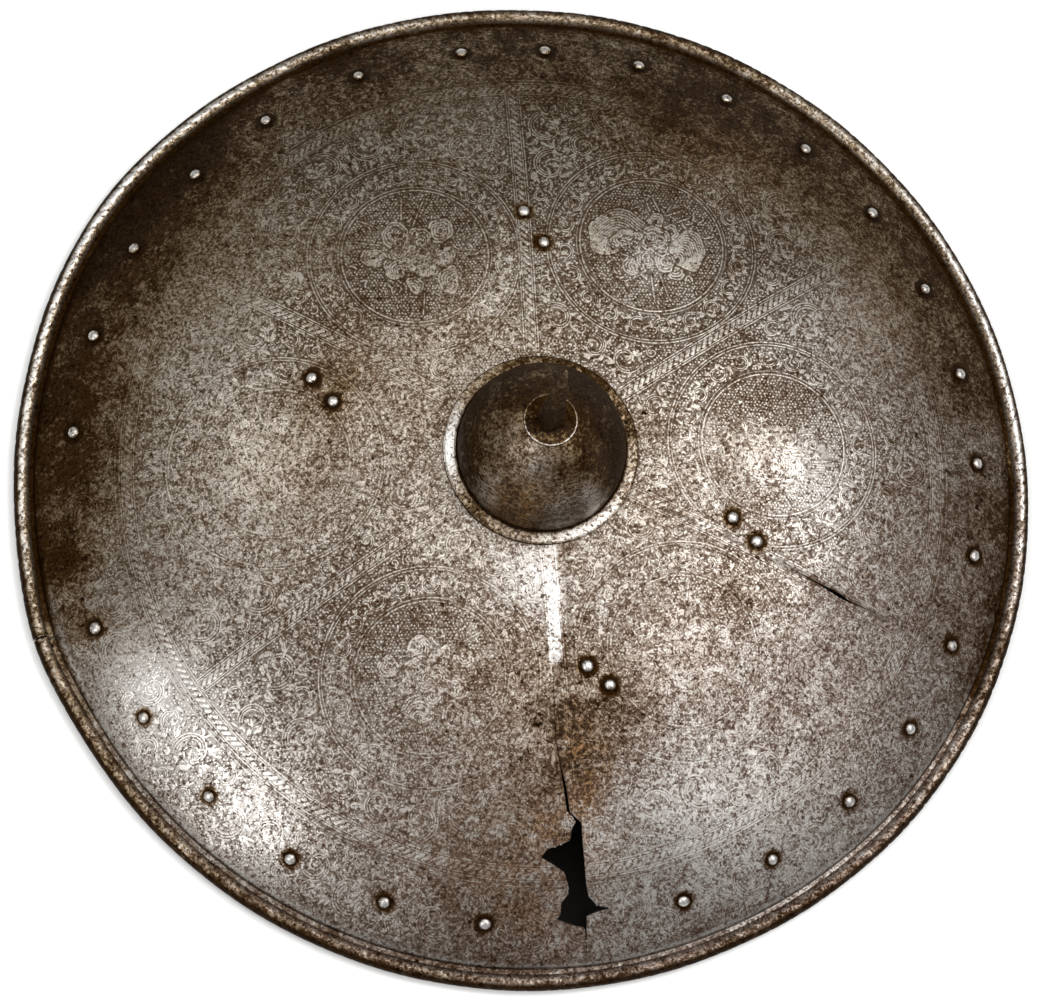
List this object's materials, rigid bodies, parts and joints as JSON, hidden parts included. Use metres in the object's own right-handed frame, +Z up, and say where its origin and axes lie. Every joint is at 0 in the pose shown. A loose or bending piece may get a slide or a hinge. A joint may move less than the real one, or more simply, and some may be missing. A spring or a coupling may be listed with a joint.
{
  "type": "rotella shield",
  "caption": "Round dished steel shield with a rolled roped rim, etched bands and medallions, a domed boss and a four-sided spike, worn and torn; it lies on its rim.",
  "frame": {"origin": "on the ground at the centre of the rim, below the boss", "axes": "+Z up, out of the shield along its spike; +Y towards the top of the shield as pictured; +X to the right"},
  "size_m": [0.5791, 0.5786, 0.2182],
  "materials": {
    "plate_steel": "old etched steel, mottled brown and grey with pitting and rust",
    "boss_steel": "dark brown patinated steel, glossy",
    "washer_steel": "worn steel, partly rusted",
    "spike_steel": "brown-black forged steel",
    "rivet_steel": "worn steel with rust round the heads"
  },
  "bodies": {
    "root": {"plate": "plate_steel", "boss": "boss_steel", "spike_washer": "washer_steel", "spike": "spike_steel", "lining_rivet_01": "rivet_steel", "lining_rivet_02": "rivet_steel", "lining_rivet_03": "rivet_steel", "lining_rivet_04": "rivet_steel", "lining_rivet_05": "rivet_steel", "lining_rivet_06": "rivet_steel", "lining_rivet_07": "rivet_steel", "lining_rivet_08": "rivet_steel", "lining_rivet_09": "rivet_steel", "lining_rivet_10": "rivet_steel", "lining_rivet_11": "rivet_steel", "lining_rivet_12": "rivet_steel", "lining_rivet_13": "rivet_steel", "lining_rivet_14": "rivet_steel", "lining_rivet_15": "rivet_steel", "lining_rivet_16": "rivet_steel", "lining_rivet_17": "rivet_steel", "lining_rivet_18": "rivet_steel", "lining_rivet_19": "rivet_steel", "lining_rivet_20": "rivet_steel", "lining_rivet_21": "rivet_steel", "lining_rivet_22": "rivet_steel", "lining_rivet_23": "rivet_steel", "lining_rivet_24": "rivet_steel", "lining_rivet_25": "rivet_steel", "lining_rivet_26": "rivet_steel", "lining_rivet_27": "rivet_steel", "strap_rivet_top_1": "rivet_steel", "strap_rivet_top_2": "rivet_steel", "strap_rivet_left_1": "rivet_steel", "strap_rivet_left_2": "rivet_steel", "strap_rivet_right_1": "rivet_steel", "strap_rivet_right_2": "rivet_steel", "strap_rivet_bottom_1": "rivet_steel", "strap_rivet_bottom_2": "rivet_steel"}
  },
  "joints": []
}
